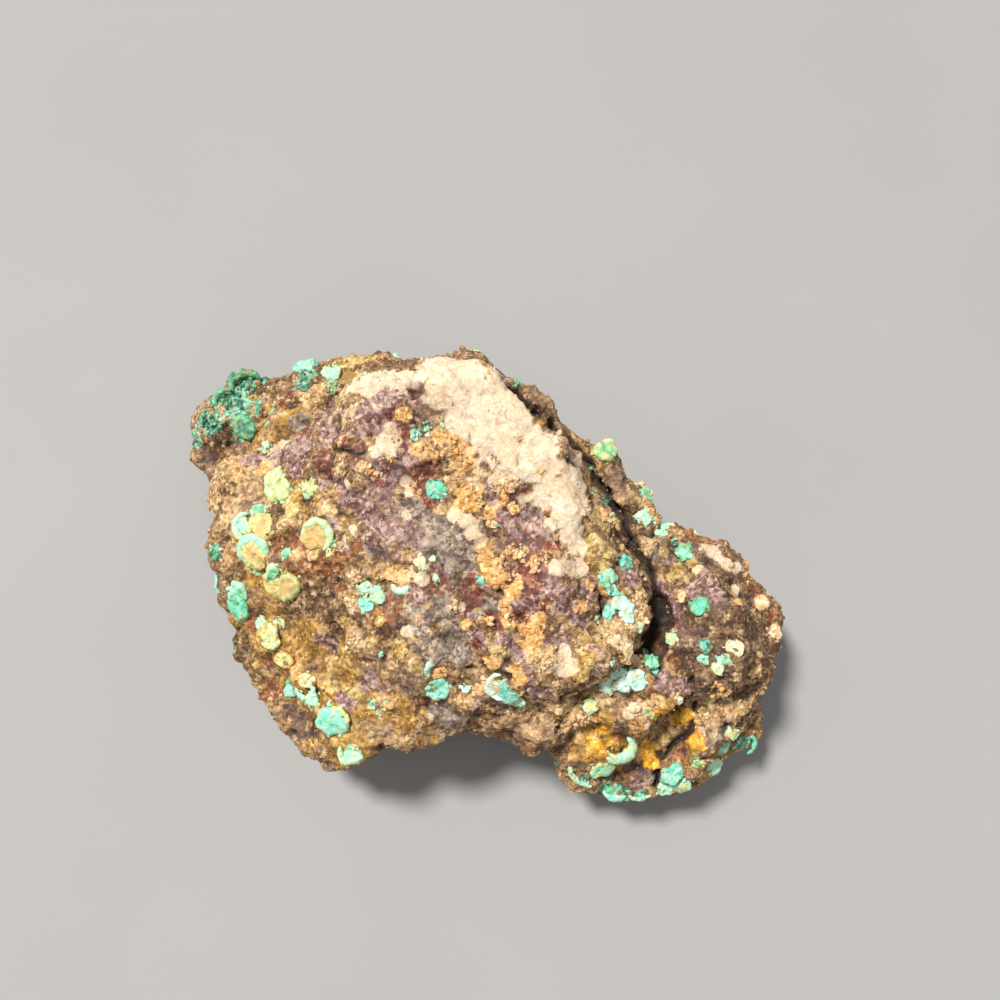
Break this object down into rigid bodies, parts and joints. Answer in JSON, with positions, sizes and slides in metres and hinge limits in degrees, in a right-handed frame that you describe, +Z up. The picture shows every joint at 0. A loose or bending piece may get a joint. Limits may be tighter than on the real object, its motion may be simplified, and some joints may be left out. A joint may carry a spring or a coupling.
{
  "type": "azurite-malachite specimen",
  "caption": "Hand-sized lump of iron-stained copper ore with small malachite rosettes on a crumbly brown, purple and cream crust.",
  "frame": {"origin": "middle of the stone's bounding box in plan, on the ground that it rests on", "axes": "+Z up, +X along the stone's longest side, -Y towards the viewer of the picture"},
  "size_m": [0.0864, 0.066, 0.0391],
  "materials": {
    "gossan": "dull, crumbly iron-stained rock with cream, purple, ochre and malachite-green crusts"
  },
  "bodies": {
    "root": {"specimen": "gossan"}
  },
  "joints": []
}
